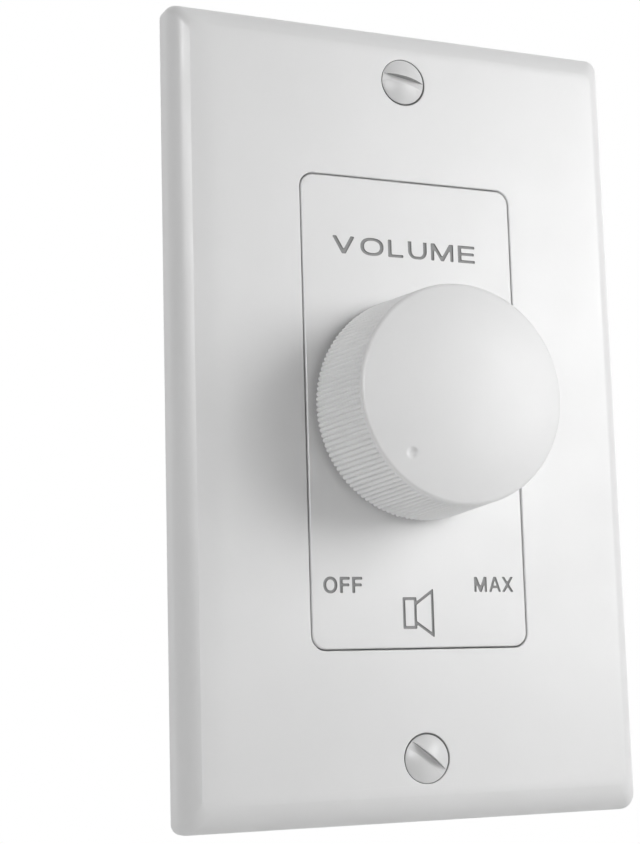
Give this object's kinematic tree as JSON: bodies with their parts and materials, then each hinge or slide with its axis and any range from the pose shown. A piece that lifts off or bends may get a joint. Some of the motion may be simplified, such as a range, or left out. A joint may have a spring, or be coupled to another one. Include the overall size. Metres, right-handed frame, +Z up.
{
  "type": "wall volume control",
  "caption": "White one-gang wall volume control: a ribbed turning knob on a flat insert in a bevelled plate, with step switch, transformers and plug-in terminals behind.",
  "frame": {"origin": "where the knob's turning axis crosses the wall surface, which is the plane of the wall plate's back rim", "axes": "+X right and +Z up as seen from the room, +Y into the wall, so the knob points along -Y"},
  "size_m": [0.0698, 0.0717, 0.1142],
  "materials": {
    "plate_white": "satin",
    "insert_white": "satin",
    "knob_white": "satin",
    "screw_white": "glossy",
    "zinc_steel": "satin",
    "nickel": "satin",
    "spring_steel": "satin",
    "die_cast": "satin",
    "phenolic": "matte",
    "nylon_black": "satin",
    "contact_silver": "satin",
    "ball_steel": "polished",
    "board_green": "satin",
    "core_steel": "satin",
    "bobbin_nylon": "satin",
    "copper": "satin",
    "tape_yellow": "satin",
    "terminal_green": "satin",
    "tin": "satin",
    "slider_white": "satin"
  },
  "bodies": {
    "base": {"wall_plate": "plate_white", "plate_screws": "screw_white", "insert": "insert_white", "mounting_strap": "zinc_steel", "bushing_nut": "nickel", "lock_washer": "spring_steel", "switch_housing": "die_cast", "switch_base": "phenolic", "switch_contacts": "contact_silver", "switch_rivets": "nickel", "standoffs": "nickel", "strap_screws": "zinc_steel", "board_screws": "zinc_steel", "circuit_board": "board_green", "input_header": "terminal_green", "output_header": "terminal_green", "input_header_pins": "tin", "output_header_pins": "tin", "selector_body": "nylon_black", "selector_pins": "tin", "left_core": "core_steel", "left_bobbin": "bobbin_nylon", "left_bobbin_pins": "tin", "left_winding": "copper", "left_tape": "tape_yellow", "left_clamp": "zinc_steel", "right_core": "core_steel", "right_bobbin": "bobbin_nylon", "right_bobbin_pins": "tin", "right_winding": "copper", "right_tape": "tape_yellow", "right_clamp": "zinc_steel"},
    "knob": {"knob": "knob_white", "knob_clip": "spring_steel", "switch_shaft": "die_cast", "shaft_ring": "spring_steel", "switch_rotor": "nylon_black", "detent_springs": "spring_steel", "detent_balls": "ball_steel", "rotor_wipers": "contact_silver"},
    "input_plug": {"input_plug": "terminal_green", "input_plug_cages": "nickel", "input_plug_screws": "zinc_steel"},
    "output_plug": {"output_plug": "terminal_green", "output_plug_cages": "nickel", "output_plug_screws": "zinc_steel"},
    "selector_slider": {"selector_slider": "slider_white"}
  },
  "joints": [
    {"name": "volume_turn", "type": "hinge", "parent": "base", "child": "knob", "pos_m": [0, 0, 0], "axis": [0, 1, 0], "range_deg": [0, 270]},
    {"name": "input_plug_pull", "type": "slide", "parent": "base", "child": "input_plug", "axis": [0, 1, 0], "range_m": [0, 0.009]},
    {"name": "output_plug_pull", "type": "slide", "parent": "base", "child": "output_plug", "axis": [0, 1, 0], "range_m": [0, 0.009]},
    {"name": "selector_slide", "type": "slide", "parent": "base", "child": "selector_slider", "axis": [1, 0, 0], "range_m": [0, 0.004]}
  ]
}
